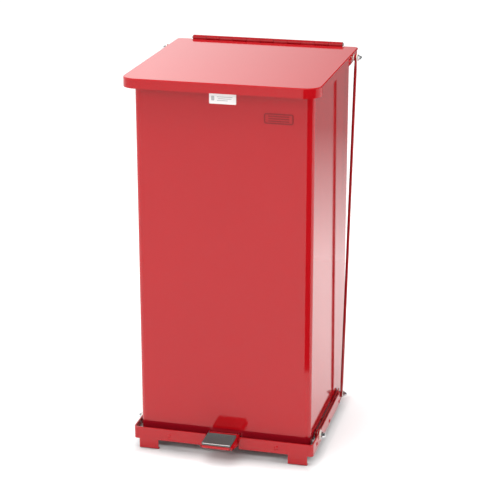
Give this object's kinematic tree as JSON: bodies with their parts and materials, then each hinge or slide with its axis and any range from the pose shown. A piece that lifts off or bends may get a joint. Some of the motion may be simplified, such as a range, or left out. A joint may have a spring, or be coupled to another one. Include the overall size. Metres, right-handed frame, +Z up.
{
  "type": "oily waste can",
  "caption": "Tall square sheet-steel waste can with a foot pedal, side push rods that lift a rear-hinged skirted lid, and a lift-out metal liner.",
  "frame": {"origin": "on the ground, under the middle of the whole object's box", "axes": "+Z up, -Y to the front where the pedal is, +X to the right of the can as seen from the front"},
  "size_m": [0.4144, 0.4212, 0.7694],
  "materials": {
    "red_paint": "high-gloss powder-coated red",
    "zinc": "spangled galvanised sheet",
    "plated_steel": "zinc plated, satin",
    "bright_chrome": "polished",
    "black_rubber": "matt moulded",
    "grey_rubber": "matt",
    "white_nylon": "turned, satin",
    "white_label": "printed vinyl, left blank"
  },
  "bodies": {
    "can": {"body_shell": "red_paint", "floor_pan": "red_paint", "liner": "zinc", "base_frame": "red_paint", "frame_spacers": "plated_steel", "frame_rivets": "red_paint", "front_label": "white_label", "front_badge": "red_paint", "hinge_body_leaf": "red_paint", "hinge_pin": "plated_steel", "hinge_body_rivets": "red_paint", "axle_bushes": "white_nylon"},
    "lid": {"lid_panel": "red_paint", "lid_front_stiffener": "red_paint", "hinge_lid_leaf": "red_paint", "hinge_lid_rivets": "red_paint", "lid_bumpers": "black_rubber", "rod_bracket_left": "red_paint", "rod_bracket_right": "red_paint", "bracket_rivets": "red_paint", "upper_bolt_left": "plated_steel", "upper_bolt_right": "plated_steel", "upper_spacers": "white_nylon", "upper_washers": "white_nylon", "upper_cap_nuts": "bright_chrome"},
    "pedal": {"pivot_axle": "plated_steel", "lever_arm_left": "red_paint", "lever_arm_right": "red_paint", "pedal_plate": "red_paint", "pedal_pad": "grey_rubber", "pad_rivets": "plated_steel", "axle_washers": "white_nylon", "axle_cap_nuts": "bright_chrome"},
    "rod_left": {"push_rod_left": "red_paint", "lower_bolt_left": "plated_steel", "lower_washer_left": "white_nylon", "lower_cap_nut_left": "bright_chrome"},
    "rod_right": {"push_rod_right": "red_paint", "lower_bolt_right": "plated_steel", "lower_washer_right": "white_nylon", "lower_cap_nut_right": "bright_chrome"}
  },
  "joints": [
    {"name": "lid_hinge", "type": "hinge", "parent": "can", "child": "lid", "pos_m": [0, 0.2054, 0.7642], "axis": [-1, 0, 0], "range_deg": [0, 60]},
    {"name": "pedal_pivot", "type": "hinge", "parent": "can", "child": "pedal", "pos_m": [0, -0.0951, 0.039], "axis": [1, 0, 0], "range_deg": [0, 14.4]},
    {"name": "rod_pivot_left", "type": "hinge", "parent": "lid", "child": "rod_left", "pos_m": [-0.194, 0.1509, 0.751], "axis": [1, 0, 0], "range_deg": [0, 58.27]},
    {"name": "rod_pivot_right", "type": "hinge", "parent": "lid", "child": "rod_right", "pos_m": [0.194, 0.1509, 0.751], "axis": [1, 0, 0], "range_deg": [0, 58.27]}
  ],
  "couplings": [
    {"joint": "pedal_pivot", "follows": "lid_hinge", "ratio": 0.24},
    {"joint": "rod_pivot_left", "follows": "lid_hinge", "ratio": 0.97125},
    {"joint": "rod_pivot_right", "follows": "lid_hinge", "ratio": 0.97125}
  ]
}
